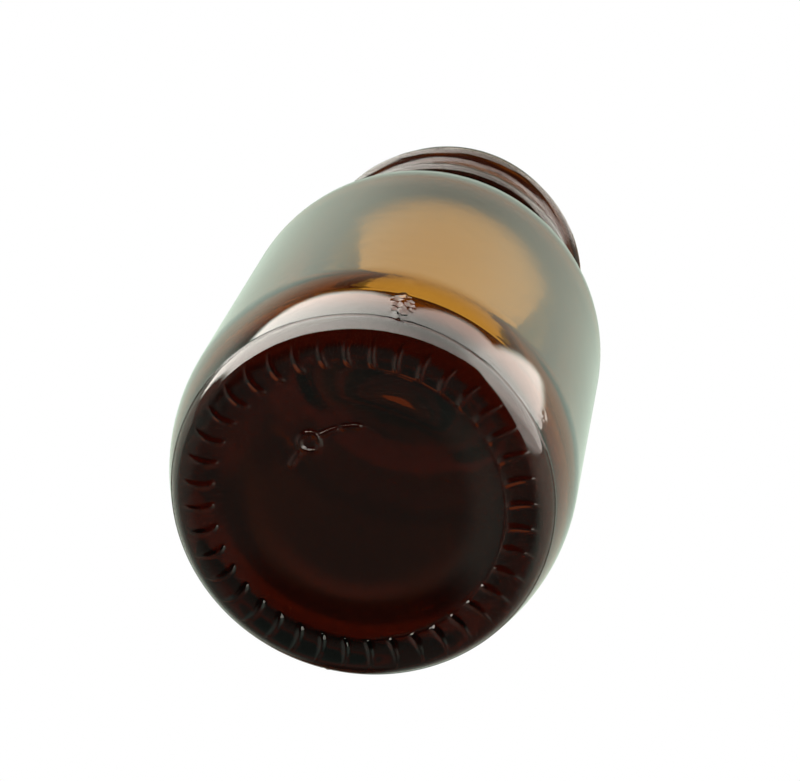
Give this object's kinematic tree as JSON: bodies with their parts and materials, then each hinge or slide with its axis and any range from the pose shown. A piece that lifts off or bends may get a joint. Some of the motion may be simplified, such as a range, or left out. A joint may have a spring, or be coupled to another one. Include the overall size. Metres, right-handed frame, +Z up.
{
  "type": "pill bottle",
  "caption": "Empty wide-mouth pill bottle of moulded amber glass with a ribbed base ring, recessed base disc and screw-finish neck, no cap.",
  "frame": {"origin": "middle of the base, at the height of the rib crests the bottle stands on", "axes": "+Z up the bottle's axis from base to mouth; +X and +Y across it, with the foot of one mould seam near -Y"},
  "size_m": [0.048, 0.048, 0.092],
  "materials": {
    "amber_glass": "smooth fire-polished amber glass, brown where thin and nearly black where thick"
  },
  "bodies": {
    "root": {"bottle": "amber_glass"}
  },
  "joints": []
}
